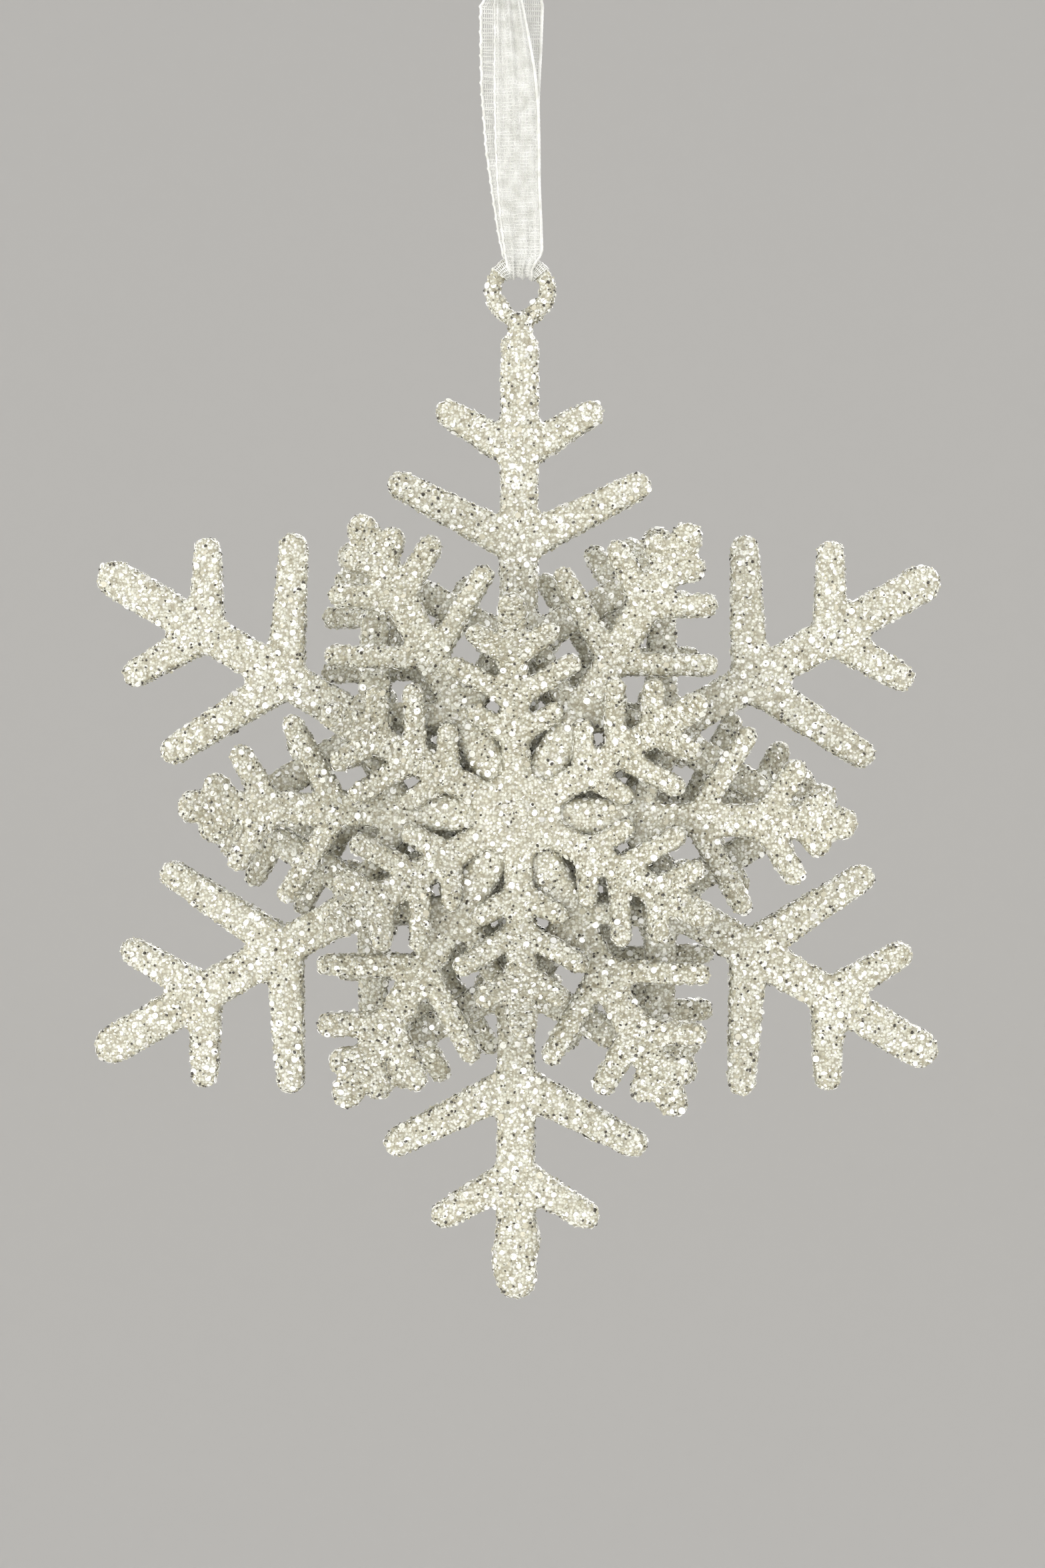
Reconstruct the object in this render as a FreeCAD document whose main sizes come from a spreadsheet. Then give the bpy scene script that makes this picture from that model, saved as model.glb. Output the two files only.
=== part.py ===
# Glittered plastic snowflake ornament: five six-armed stars stacked on a centre pin, and the ribbon that
# they hang from. Millimetres. +Z is up and the front faces -Y, so the stars stand in the XZ plane. The
# origin is at the top of the inside of the ribbon's loop, under the knot, where a hook or twig carries it.

import FreeCAD, Part
import math
import os

import Sketcher
from FreeCAD import Placement, Rotation, Vector

os.makedirs("parts", exist_ok=True)
doc = FreeCAD.newDocument("snowflake_ornament")

# --- Driving dimensions -------------------------------------------------------------------------

ARM_COUNT = 6
X_AXIS, Y_AXIS, Z_AXIS = Vector(1, 0, 0), Vector(0, 1, 0), Vector(0, 0, 1)

# The bars of one arm of each star. Each has its start along the arm, its length, its widths at the start
# and at the round tip, and the degrees that it leans away from the arm. The spine runs out from the hub
# and doesn't lean, and every other bar is one of a mirrored pair.
BAR_SIZES = ("start", "long", "base", "tip", "lean")
STAR_BARS = {
    "main": {
        "spine": (0, 50.3, 4.0, 3.9, 0),
        "outer": (37.4, 9.9, 3.7, 2.8, 60),
        "middle": (27.9, 15.2, 4.0, 2.9, 63),
        "inner": (17.2, 12.8, 3.5, 3.0, 60),
    },
    "medium": {
        "spine": (0, 34.2, 3.2, 3.1, 0),
        "crown": (29.1, 3.8, 2.8, 2.4, 57),
        "outer": (25.0, 7.2, 2.5, 2.2, 59),
        "middle": (18.2, 10.9, 2.3, 2.0, 60),
        "inner": (11.5, 9.5, 2.4, 2.1, 60),
    },
    "small": {
        "spine": (0, 22.0, 2.7, 2.6, 0),
        "outer": (16.0, 5.2, 2.1, 1.9, 58),
        "middle": (11.8, 7.6, 2.0, 1.8, 60),
        "inner": (8.1, 5.5, 2.2, 1.8, 61),
    },
}
LAYOUT = {
    "main_thick": 3.0,
    "medium_thick": 2.3,
    "small_thick": 2.1,
    "medium_bowl": 66.0,  # radius of the sphere that a cupped star's back follows
    "small_bowl": 28.0,
    "hub_round": 4.4,  # radius of every star's hub
    "flat_round": 4.5,  # radius inside which a cupped star is flat
    "bowl_margin": 2.0,  # how far the bowls reach past the arms' tips
    "pin_round": 1.2,
    "pin_gap": 0.05,  # between the pin and the bores
    "pin_proud": 0.2,  # how far each end of the pin stands out of the small stars
    "pin_chamfer": 0.2,
    "star_drop": 88.0,  # from the origin down to the common centre of the stars
    "eye_up": 54.4,  # from that centre up to the middle of the eye
    "eye_ring": 2.86,  # radius of the eye's middle line
    "eye_wire": 0.92,  # radius of the eye's round section
    "neck_start": 46.0,
    "neck_long": 6.2,
    "neck_base": 2.6,
    "neck_tip": 2.4,
    "neck_lean": 0,
    "ribbon_wide": 6.4,
    "ribbon_thick": 0.4,
    "ribbon_gathered": 2.6,  # width where the ribbon is drawn through the eye
    "bend_round": 1.75,  # radius of the ribbon's middle round the top bar of the eye
    "loop_half": 2.4,  # how far each strand stands from the middle, a little below the knot
    "loop_down": 5.0,
    "strand_half": 0.9,  # the same, where it leaves the knot
    "gather_up": 1.3,  # above the top bar's middle, the ribbon is gathered up to here
    "spread_up": 5.5,  # and has its full width from here
    "knot_gap": 0.2,
    "knot_end": 2.3,  # the knot's radius at its two ends
    "knot_round": 3.6,
    "knot_tall": 6.4,
    "tail_long": 10.0,
    "tail_base": 3.0,
    "tail_thick": 0.5,
    "tail_lean": 24.0,  # degrees from upright
    "tail_sunk": 1.0,  # how deep the tails start inside the knot
}
# How far each cupped star is turned about its own outward axis, in degrees.
TURNS = {
    "front_medium_star": -1.2,
    "rear_medium_star": -3.0,
    "front_small_star": 1.8,
    "rear_small_star": -0.4,
}

size = dict(LAYOUT)
for star, bars in STAR_BARS.items():
    for bar, numbers in bars.items():
        size.update({f"{star}_{bar}_{word}": number for word, number in zip(BAR_SIZES, numbers)})

dims = doc.addObject("Spreadsheet::Sheet", "dims")
for row, (alias, number) in enumerate(size.items(), start=1):
    dims.set(f"A{row}", alias)
    dims.set(f"B{row}", str(number))
    dims.setAlias(f"B{row}", alias)
doc.recompute()

# --- Sketch helpers -----------------------------------------------------------------------------

BEGIN, END, CENTRE = 1, 2, 3  # the points of a sketch element
SKETCH_X, SKETCH_Y = -1, -2  # a sketch's own axes; the first one begins at its origin


def origin_feature(body, role):
    return next(f for f in body.Origin.OriginFeatures if f.Role == role)


def new_sketch(body, name, role="XY_Plane"):
    sketch = body.newObject("Sketcher::SketchObject", name)
    sketch.AttachmentSupport = [(origin_feature(body, role), "")]
    sketch.MapMode = "FlatFace"
    return sketch


def tie(sketch, kind, *where, to=None):
    """Adds a constraint, and binds its value to an expression if there is one."""
    number = sketch.addConstraint(Sketcher.Constraint(kind, *where))
    if to:
        sketch.setExpression(f"Constraints[{number}]", to)


def line(sketch, start, end):
    return sketch.addGeometry(Part.LineSegment(Vector(*start), Vector(*end)))


def arc(sketch, centre, start, end):
    """The arc that runs anticlockwise from start to end round the centre."""
    from_angle, to_angle = (math.atan2(p[1] - centre[1], p[0] - centre[0]) for p in (start, end))
    if to_angle < from_angle:
        to_angle += 2 * math.pi
    circle = Part.Circle(Vector(*centre), Z_AXIS, math.dist(centre, start))
    return sketch.addGeometry(Part.ArcOfCircle(circle, from_angle, to_angle))


def join(sketch, *elements):
    """Joins the end of each element to the beginning of the next, all the way round."""
    for this, following in zip(elements, elements[1:] + elements[:1]):
        tie(sketch, "Coincident", this, END, following, BEGIN)


def circle_sketch(body, name, radius_to):
    sketch = new_sketch(body, name)
    ring = sketch.addGeometry(Part.Circle(Vector(), Z_AXIS, 1))
    tie(sketch, "Coincident", ring, CENTRE, SKETCH_X, BEGIN)
    tie(sketch, "Radius", ring, 1.0, to=radius_to)
    return sketch


def pad(body, sketch, length_to):
    feature = body.newObject("PartDesign::Pad", f"{sketch.Name}_pad")
    feature.Profile = sketch
    feature.setExpression("Length", length_to)
    sketch.Visibility = False
    return feature


def bar_sketch(body, name, bar, side, arm_angle):
    """A tapered bar with a half-round tip. It starts on the middle line of the arm at arm_angle and
    leans away from it to one side, or runs along it when side is 0."""
    long, base, tip = (size[f"{bar}_{word}"] for word in ("long", "base", "tip"))
    reach = long - tip / 2
    sketch = new_sketch(body, name)
    sketch.AttachmentOffset = Placement(Vector(), Rotation(Z_AXIS, arm_angle + side * size[f"{bar}_lean"]))
    turn_to = f"({arm_angle} + {side} * dims.{bar}_lean) * 1 deg"
    sketch.setExpression("AttachmentOffset.Rotation.Angle", turn_to)
    for axis, part_of in (("x", "cos"), ("y", "sin")):
        sketch.setExpression(
            f"AttachmentOffset.Base.{axis}", f"dims.{bar}_start * {part_of}({arm_angle} deg) * 1 mm"
        )
    lower = line(sketch, (0, -base / 2), (reach, -tip / 2))
    end = arc(sketch, (reach, 0), (reach, -tip / 2), (reach, tip / 2))
    upper = line(sketch, (reach, tip / 2), (0, base / 2))
    back = line(sketch, (0, base / 2), (0, -base / 2))
    join(sketch, lower, end, upper, back)
    tie(sketch, "PointOnObject", back, BEGIN, SKETCH_Y)
    tie(sketch, "Symmetric", back, BEGIN, back, END, SKETCH_X)
    tie(sketch, "PointOnObject", end, CENTRE, SKETCH_X)
    tie(sketch, "Vertical", end, CENTRE, end, BEGIN)
    tie(sketch, "Vertical", end, CENTRE, end, END)
    tie(sketch, "DistanceY", back, END, back, BEGIN, base, to=f"dims.{bar}_base * 1 mm")
    tie(sketch, "Radius", end, tip / 2, to=f"dims.{bar}_tip / 2 * 1 mm")
    reach_to = f"(dims.{bar}_long - dims.{bar}_tip / 2) * 1 mm"
    tie(sketch, "DistanceX", SKETCH_X, BEGIN, end, CENTRE, reach, to=reach_to)
    return sketch


def flat_star(body, star, height_to, arm_angle):
    """Pads one arm's bars and patterns them round the hub, which has the pin's bore."""
    pads = [pad(body, circle_sketch(body, f"{body.Name}_hub", "dims.hub_round * 1 mm"), height_to)]
    for bar in STAR_BARS[star]:
        for side in (0,) if bar == "spine" else (-1, 1):
            name = f"{body.Name}_{bar}_{'left' if side > 0 else 'right'}"
            pads.append(pad(body, bar_sketch(body, name, f"{star}_{bar}", side, arm_angle), height_to))
    pattern = body.newObject("PartDesign::PolarPattern", f"{body.Name}_arms")
    pattern.Originals = pads[1:]
    pattern.Axis = (origin_feature(body, "Z_Axis"), [""])
    pattern.Angle = 360
    pattern.Occurrences = ARM_COUNT
    body.Tip = pattern
    bore = body.newObject("PartDesign::Pocket", f"{body.Name}_bore")
    bore.Profile = circle_sketch(body, f"{body.Name}_bore_edge", "(dims.pin_round + dims.pin_gap) * 1 mm")
    bore.Type = "ThroughAll"
    bore.Reversed = True
    return bore


def revolve(body, sketch):
    feature = body.newObject("PartDesign::Revolution", f"{sketch.Name}_turned")
    feature.Profile = sketch
    feature.ReferenceAxis = (sketch, ["V_Axis"])
    feature.Angle = 360
    return feature


# --- Stars --------------------------------------------------------------------------------------

FRONT = Rotation(X_AXIS, 90)  # turns a star's own Z, the way its arms lean out, to face -Y
REAR = Rotation(Z_AXIS, 180) * FRONT


def main_star():
    """The flat star, with the hanging eye on the arm that stands up."""
    body = doc.addObject("PartDesign::Body", "main_star")
    flat_star(body, "main", "dims.main_thick * 1 mm", 90)
    pad(body, bar_sketch(body, "neck", "neck", 0, 90), "dims.main_thick * 1 mm")
    eye = body.newObject("PartDesign::AdditiveTorus", "eye")
    eye.AttachmentSupport = [(origin_feature(body, "XY_Plane"), "")]
    eye.MapMode = "FlatFace"
    eye.setExpression("Radius1", "dims.eye_ring * 1 mm")
    eye.setExpression("Radius2", "dims.eye_wire * 1 mm")
    eye.setExpression("AttachmentOffset.Base.y", "dims.eye_up * 1 mm")
    eye.setExpression("AttachmentOffset.Base.z", "dims.main_thick / 2 * 1 mm")
    body.Placement = Placement(Vector(), FRONT)
    body.setExpression("Placement.Base.y", "dims.main_thick / 2 * 1 mm")
    body.setExpression("Placement.Base.z", "-dims.star_drop * 1 mm")
    return body


def bowl_space(star):
    """The space that a cupped star fills: flat at the hub, then between two concentric spheres."""
    body = doc.addObject("PartDesign::Body", f"{star}_bowl_space")
    sketch = new_sketch(body, f"{star}_bowl_section", "XZ_Plane")
    ball, thick, flat = size[f"{star}_bowl"], size[f"{star}_thick"], size["flat_round"]
    rim = size[f"{star}_spine_long"] + size["bowl_margin"]
    centre = (0, math.sqrt(ball**2 - flat**2))
    under = (flat, 0)
    over = (flat, centre[1] - math.sqrt((ball - thick) ** 2 - flat**2))
    outer = (rim, centre[1] - math.sqrt(ball**2 - rim**2))
    inner = tuple(c + (p - c) * (ball - thick) / ball for p, c in zip(outer, centre))
    bottom = line(sketch, (0, 0), under)
    back = arc(sketch, centre, under, outer)
    edge = line(sketch, outer, inner)
    face = arc(sketch, centre, over, inner)
    top = line(sketch, over, (0, over[1]))
    axis = line(sketch, (0, over[1]), (0, 0))
    tie(sketch, "Coincident", bottom, BEGIN, SKETCH_X, BEGIN)
    tie(sketch, "PointOnObject", bottom, END, SKETCH_X)
    tie(sketch, "Coincident", bottom, END, back, BEGIN)
    tie(sketch, "Coincident", back, END, edge, BEGIN)
    tie(sketch, "Coincident", edge, END, face, END)
    tie(sketch, "Coincident", face, BEGIN, top, BEGIN)
    tie(sketch, "Coincident", top, END, axis, BEGIN)
    tie(sketch, "Coincident", axis, END, bottom, BEGIN)
    tie(sketch, "PointOnObject", back, CENTRE, SKETCH_Y)
    tie(sketch, "Coincident", back, CENTRE, face, CENTRE)
    tie(sketch, "PointOnObject", axis, BEGIN, SKETCH_Y)
    tie(sketch, "Horizontal", top)
    tie(sketch, "Vertical", bottom, END, top, BEGIN)
    tie(sketch, "PointOnObject", back, CENTRE, edge)
    tie(sketch, "DistanceX", bottom, BEGIN, bottom, END, flat, to="dims.flat_round * 1 mm")
    tie(sketch, "Radius", back, ball, to=f"dims.{star}_bowl * 1 mm")
    tie(sketch, "Radius", face, ball - thick, to=f"(dims.{star}_bowl - dims.{star}_thick) * 1 mm")
    rim_to = f"(dims.{star}_spine_long + dims.bowl_margin) * 1 mm"
    tie(sketch, "DistanceX", SKETCH_X, BEGIN, back, END, rim, to=rim_to)
    revolve(body, sketch)
    return body


def cupped_star(name, star, arm_angle, bowl, facing, out_to):
    """The part of a tall star-shaped prism that lies inside the bowl, out_to from the star plane."""
    prism = doc.addObject("PartDesign::Body", f"{name}_prism")
    flat_star(prism, star, "(dims.medium_spine_long + dims.bowl_margin) * 1 mm", arm_angle)
    piece = doc.addObject("Part::Common", name)
    piece.Base = prism
    piece.Tool = bowl
    piece.Placement = Placement(Vector(), facing * Rotation(Z_AXIS, TURNS[name]))
    way = "-" if facing is FRONT else ""
    piece.setExpression("Placement.Base.y", f"{way}({out_to}) * 1 mm")
    piece.setExpression("Placement.Base.z", "-dims.star_drop * 1 mm")
    return piece


def centre_pin():
    """The peg through all five hubs, with both of its rims chamfered."""
    body = doc.addObject("PartDesign::Body", "centre_pin")
    long_to = f"2 * ({FACE_OUT} + dims.pin_proud) * 1 mm"
    shaft = pad(body, circle_sketch(body, "pin_section", "dims.pin_round * 1 mm"), long_to)
    doc.recompute()
    rims = [f"Edge{i}" for i, e in enumerate(shaft.Shape.Edges, 1) if isinstance(e.Curve, Part.Circle)]
    chamfer = body.newObject("PartDesign::Chamfer", "pin_rims")
    chamfer.Base = (shaft, rims)
    chamfer.setExpression("Size", "dims.pin_chamfer * 1 mm")
    body.Placement = Placement(Vector(), FRONT)
    body.setExpression("Placement.Base.y", f"({FACE_OUT} + dims.pin_proud) * 1 mm")
    body.setExpression("Placement.Base.z", "-dims.star_drop * 1 mm")
    return body


def hub_to(star):
    """The thickness of a cupped star's hub, which is greatest where it meets the bowl."""
    face_to, back_to = f"dims.{star}_bowl - dims.{star}_thick", f"dims.{star}_bowl"
    return f"(sqrt({back_to} ^ 2 - dims.flat_round ^ 2) - sqrt(({face_to}) ^ 2 - dims.flat_round ^ 2))"


# How far each tier's back stands from the star plane, and the face of the outermost one.
MEDIUM_OUT = "dims.main_thick / 2"
SMALL_OUT = f"{MEDIUM_OUT} + {hub_to('medium')}"
FACE_OUT = f"{SMALL_OUT} + {hub_to('small')}"

medium_bowl, small_bowl = bowl_space("medium"), bowl_space("small")
pieces = [
    main_star(),
    cupped_star("front_medium_star", "medium", 0, medium_bowl, FRONT, MEDIUM_OUT),
    cupped_star("rear_medium_star", "medium", 0, medium_bowl, REAR, MEDIUM_OUT),
    cupped_star("front_small_star", "small", 90, small_bowl, FRONT, SMALL_OUT),
    cupped_star("rear_small_star", "small", 90, small_bowl, REAR, SMALL_OUT),
    centre_pin(),
]

# --- Ribbon -------------------------------------------------------------------------------------
# It leaves the knot as two strands, one behind the other, and passes through the eye between them.

BAR_Z = size["eye_up"] + size["eye_ring"] - size["star_drop"]  # the middle of the eye's top bar


def straight(start, end):
    return Part.LineSegment(start, end).toShape()


def strand(points):
    """Straight runs along the points, with each corner an arc as large as its two runs allow."""
    edges, start = [], points[0]
    for before, corner, after in zip(points, points[1:], points[2:]):
        back, onward = before - corner, after - corner
        trim = 0.45 * min(back.Length, onward.Length)
        back.normalize()
        onward.normalize()
        half_turn = (math.pi - back.getAngle(onward)) / 2
        radius = trim / math.tan(half_turn)
        print(f"ribbon: a turn of {math.degrees(2 * half_turn):.1f} degrees, radius {radius:.1f} mm")
        inward = back + onward
        inward.normalize()
        nearest = corner + inward * (radius / math.cos(half_turn) - radius)
        begin, end = corner + back * trim, corner + onward * trim
        edges += [straight(start, begin), Part.Arc(begin, nearest, end).toShape()]
        start = end
    return edges + [straight(start, points[-1])]


def ribbon():
    """The flat strip: down the front strand, round the eye's top bar and up the rear strand. It is
    drawn in to a narrow band where it goes through the eye."""
    bend = size["bend_round"]
    front = [
        Vector(0, -size["strand_half"], -size["knot_gap"]),
        Vector(0, -size["loop_half"], -size["loop_down"]),
        Vector(0, -bend, BAR_Z + size["spread_up"]),
        Vector(0, -bend, BAR_Z),
    ]
    rear = [Vector(0, -p.y, p.z) for p in reversed(front)]
    bar = Part.Arc(front[-1], Vector(0, 0, BAR_Z - bend), rear[0]).toShape()
    route = Part.Wire(strand(front) + [bar] + strand(rear))
    half_wide, half_thick = size["ribbon_wide"] / 2, size["ribbon_thick"] / 2
    along = front[1] - front[0]
    across = Vector(0, -along.z, along.y).normalize() * half_thick
    edge = X_AXIS * half_wide
    corners = [front[0] + p for p in (-edge - across, edge - across, edge + across, across - edge)]
    path = doc.addObject("Part::Feature", "ribbon_path")
    path.Shape = route
    section = doc.addObject("Part::Feature", "ribbon_section")
    section.Shape = Part.makePolygon(corners + corners[:1])
    strip = doc.addObject("Part::Sweep", "ribbon_strip")
    strip.Sections = [section]
    strip.Spine = (path, [f"Edge{i + 1}" for i in range(len(route.Edges))])
    strip.Solid = True
    outline = doc.addObject("PartDesign::Body", "ribbon_outline")
    sketch = new_sketch(outline, "ribbon_front_view", "XZ_Plane")
    narrow, spread = size["ribbon_gathered"] / 2, BAR_Z + size["spread_up"]
    gather, low = BAR_Z + size["gather_up"], BAR_Z - 2 * bend
    right = [(half_wide, 0), (half_wide, spread), (narrow, gather), (narrow, low)]
    points = right + [(-x, z) for x, z in reversed(right)]
    sides = [line(sketch, a, b) for a, b in zip(points, points[1:] + points[:1])]
    join(sketch, *sides)
    for this, mirrored in zip(sides[:4], sides[:3:-1]):
        tie(sketch, "Symmetric", this, BEGIN, mirrored, BEGIN, SKETCH_Y)
    tie(sketch, "PointOnObject", sides[0], BEGIN, SKETCH_X)
    tie(sketch, "Vertical", sides[0])
    tie(sketch, "Vertical", sides[2])
    for side, across, across_to in ((0, half_wide, "ribbon_wide"), (2, narrow, "ribbon_gathered")):
        across_to = f"dims.{across_to} / 2 * 1 mm"
        tie(sketch, "DistanceX", SKETCH_X, BEGIN, sides[side], BEGIN, across, to=across_to)
    drop_to = "dims.star_drop - dims.eye_up - dims.eye_ring"
    levels = (
        (1, spread, "- dims.spread_up"),
        (2, gather, "- dims.gather_up"),
        (3, low, "+ 2 * dims.bend_round"),
    )
    for side, up, more_to in levels:
        tie(sketch, "DistanceY", sides[side], BEGIN, SKETCH_X, BEGIN, -up, to=f"({drop_to} {more_to}) * 1 mm")
    outline_pad = pad(outline, sketch, "4 * dims.loop_half * 1 mm")
    outline_pad.SideType = "Symmetric"
    piece = doc.addObject("Part::Common", "ribbon")
    piece.Base = strip
    piece.Tool = outline
    doc.recompute()
    print(
        f"ribbon: {route.Length:.1f} mm long; the strip is {strip.Shape.Volume:.1f} cubic mm, and its section"
        f" times its length {route.Length * size['ribbon_wide'] * size['ribbon_thick']:.1f}"
    )
    return piece


def ribbon_knot():
    """The overhand knot as a barrel, with the ribbon's two cut tails standing out of its top."""
    barrel = doc.addObject("PartDesign::Body", "knot_barrel")
    sketch = new_sketch(barrel, "knot_section", "XZ_Plane")
    end, tall, widest = size["knot_end"], size["knot_tall"], size["knot_round"]
    bulge = Part.Arc(Vector(end, 0), Vector(widest, tall / 2), Vector(end, tall))
    side = sketch.addGeometry(bulge)
    top = line(sketch, (end, tall), (0, tall))
    axis = line(sketch, (0, tall), (0, 0))
    bottom = line(sketch, (0, 0), (end, 0))
    join(sketch, side, top, axis, bottom)
    tie(sketch, "Coincident", bottom, BEGIN, SKETCH_X, BEGIN)
    tie(sketch, "PointOnObject", bottom, END, SKETCH_X)
    tie(sketch, "PointOnObject", axis, BEGIN, SKETCH_Y)
    tie(sketch, "Horizontal", top)
    tie(sketch, "Vertical", side, BEGIN, side, END)
    tie(sketch, "DistanceX", bottom, BEGIN, bottom, END, end, to="dims.knot_end * 1 mm")
    tie(sketch, "DistanceY", axis, END, axis, BEGIN, tall, to="dims.knot_tall * 1 mm")
    rise, half = widest - end, tall / 2
    rise_to, half_to = "(dims.knot_round - dims.knot_end)", "(dims.knot_tall / 2)"
    round_to = f"({half_to} ^ 2 + {rise_to} ^ 2) / (2 * {rise_to}) * 1 mm"
    tie(sketch, "Radius", side, (half**2 + rise**2) / (2 * rise), to=round_to)
    revolve(barrel, sketch)
    parts = [barrel]
    tail_sizes = {
        "Xmin": "-dims.tail_base / 2",
        "Xmax": "dims.tail_base / 2",
        "X2min": "-dims.ribbon_wide / 2",
        "X2max": "dims.ribbon_wide / 2",
        "Ymin": "0",
        "Ymax": "dims.tail_long",
        "Zmin": "-dims.tail_thick / 2",
        "Zmax": "dims.tail_thick / 2",
        "Z2min": "-dims.tail_thick / 2",
        "Z2max": "dims.tail_thick / 2",
    }
    for word, way in (("front", 1), ("rear", -1)):
        tail = doc.addObject("Part::Wedge", f"{word}_tail")
        for key, number_to in tail_sizes.items():
            tail.setExpression(key, f"{number_to} * 1 mm")
        tail.Placement = Placement(Vector(), Rotation(X_AXIS, 90 + way * size["tail_lean"]))
        tail.setExpression("Placement.Base.z", "(dims.knot_tall - dims.tail_sunk) * 1 mm")
        parts.append(tail)
    piece = doc.addObject("Part::MultiFuse", "ribbon_knot")
    piece.Shapes = parts
    return piece


pieces += [ribbon(), ribbon_knot()]

# --- Files --------------------------------------------------------------------------------------

doc.recompute()
failed = [o.Name for o in doc.Objects if {"Invalid", "Error"} & set(o.State)]
if failed:
    raise RuntimeError(f"these didn't recompute: {failed}")
for piece in pieces:
    piece.Label = piece.Name
    if piece.Shape.isNull() or not piece.Shape.isValid() or len(piece.Shape.Solids) != 1:
        raise RuntimeError(f"{piece.Label} isn't one valid solid")
for piece in pieces:
    piece.Shape.exportStep(f"parts/{piece.Label}.step")
    print(f"{piece.Label}: {piece.Shape.Volume:.1f} cubic mm, {len(piece.Shape.Faces)} faces")
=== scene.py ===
import math

import bpy
import numpy as np
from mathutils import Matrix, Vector


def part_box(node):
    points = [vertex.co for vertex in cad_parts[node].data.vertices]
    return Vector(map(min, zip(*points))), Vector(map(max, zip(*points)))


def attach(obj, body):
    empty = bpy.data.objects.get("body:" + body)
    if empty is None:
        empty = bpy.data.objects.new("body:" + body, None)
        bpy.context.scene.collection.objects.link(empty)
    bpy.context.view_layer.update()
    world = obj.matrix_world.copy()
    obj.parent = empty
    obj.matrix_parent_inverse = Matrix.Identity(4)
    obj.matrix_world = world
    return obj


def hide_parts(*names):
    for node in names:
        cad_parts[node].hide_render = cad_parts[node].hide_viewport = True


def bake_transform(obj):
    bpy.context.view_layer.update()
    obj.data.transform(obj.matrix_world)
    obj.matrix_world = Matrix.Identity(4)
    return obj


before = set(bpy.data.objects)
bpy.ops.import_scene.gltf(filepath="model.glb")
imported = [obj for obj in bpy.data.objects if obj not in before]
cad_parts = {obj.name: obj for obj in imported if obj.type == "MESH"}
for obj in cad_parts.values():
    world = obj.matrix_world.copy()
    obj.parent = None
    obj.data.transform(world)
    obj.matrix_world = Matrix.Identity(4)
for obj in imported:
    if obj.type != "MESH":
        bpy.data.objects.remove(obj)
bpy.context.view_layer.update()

MM = 0.001
X_AXIS = np.array((1.0, 0.0, 0.0))

# --- Camera -------------------------------------------------------------------------------------

STAR_Z = -88.0 * MM  # the common centre of the stars
VIEW_TALL = 163.1 * MM  # what the view takes in at the star plane
VIEW_FAR = 390.0 * MM
VIEW_ACROSS, VIEW_UP = 0.5 * MM, 3.15 * MM  # how far the view's middle is from the stars' centre
VIEW_ROLL = -0.3  # degrees
SENSOR = 36.0

camera = bpy.data.objects.new("camera", bpy.data.cameras.new("camera"))
bpy.context.scene.collection.objects.link(camera)
bpy.context.scene.camera = camera
camera.data.sensor_width = SENSOR
camera.data.lens = SENSOR * VIEW_FAR / VIEW_TALL
camera.data.clip_start, camera.data.clip_end = 0.01, 20.0
camera.location = (VIEW_ACROSS, -VIEW_FAR, STAR_Z + VIEW_UP)
camera.rotation_euler = (math.radians(90), math.radians(VIEW_ROLL), 0)

# --- Materials ----------------------------------------------------------------------------------


def plain(name, colour, **sockets):
    """A Principled material with its uniform values on the shader's own sockets, whose names have
    underlines for spaces here."""
    material = bpy.data.materials.new(name)
    material.use_nodes = True
    shader = material.node_tree.nodes["Principled BSDF"]
    shader.inputs["Base Color"].default_value = (*colour, 1)
    for socket, value in sockets.items():
        shader.inputs[socket.replace("_", " ")].default_value = value
    return material


def node(material, kind, inputs=(), **settings):
    """Adds a node. inputs pairs each socket with a value or with another node's output."""
    made = material.node_tree.nodes.new(kind)
    for key, value in settings.items():
        setattr(made, key, value)
    for socket, value in dict(inputs).items():
        if isinstance(value, bpy.types.NodeSocket):
            material.node_tree.links.new(value, made.inputs[socket])
        else:
            made.inputs[socket].default_value = value
    return made


def ramp(material, factor, stops, interpolation="LINEAR"):
    """The colour that the stops, pairs of a place and a colour, give to the factor."""
    made = node(material, "ShaderNodeValToRGB", {"Fac": factor})
    elements = made.color_ramp.elements
    made.color_ramp.interpolation = interpolation
    while len(elements) < len(stops):
        elements.new(0.5)
    for element, (where, colour) in zip(elements, stops):
        element.position = where
        element.color = (*colour, 1)
    return made.outputs["Color"]


def connect(material, output, socket):
    """Feeds an output into a socket of the material's shader."""
    shader = material.node_tree.nodes["Principled BSDF"]
    material.node_tree.links.new(output, shader.inputs[socket])


def dots(material, place, pitch, reach, share):
    """A mask of round dots. There is one to a cell, in that share of the cells, and the largest reach out
    to that part of the pitch."""
    cells = node(material, "ShaderNodeTexVoronoi", {"Vector": place, "Scale": 1 / pitch, "Randomness": 0.9})
    split = node(material, "ShaderNodeSeparateColor", {"Color": cells.outputs["Color"]})
    size = node(
        material,
        "ShaderNodeMapRange",
        {"Value": split.outputs["Red"], "To Min": reach * 0.55, "To Max": reach},
    )
    edge = node(
        material,
        "ShaderNodeMath",
        {0: size.outputs["Result"], 1: cells.outputs["Distance"]},
        operation="SUBTRACT",
    )
    soft = node(
        material, "ShaderNodeMapRange", {"Value": edge.outputs[0], "From Min": -0.03, "From Max": 0.05}
    )
    chosen = node(material, "ShaderNodeMath", {0: split.outputs["Green"], 1: share}, operation="LESS_THAN")
    mask = node(
        material,
        "ShaderNodeMath",
        {0: soft.outputs["Result"], 1: chosen.outputs[0]},
        operation="MULTIPLY",
    )
    return mask.outputs[0]


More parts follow.
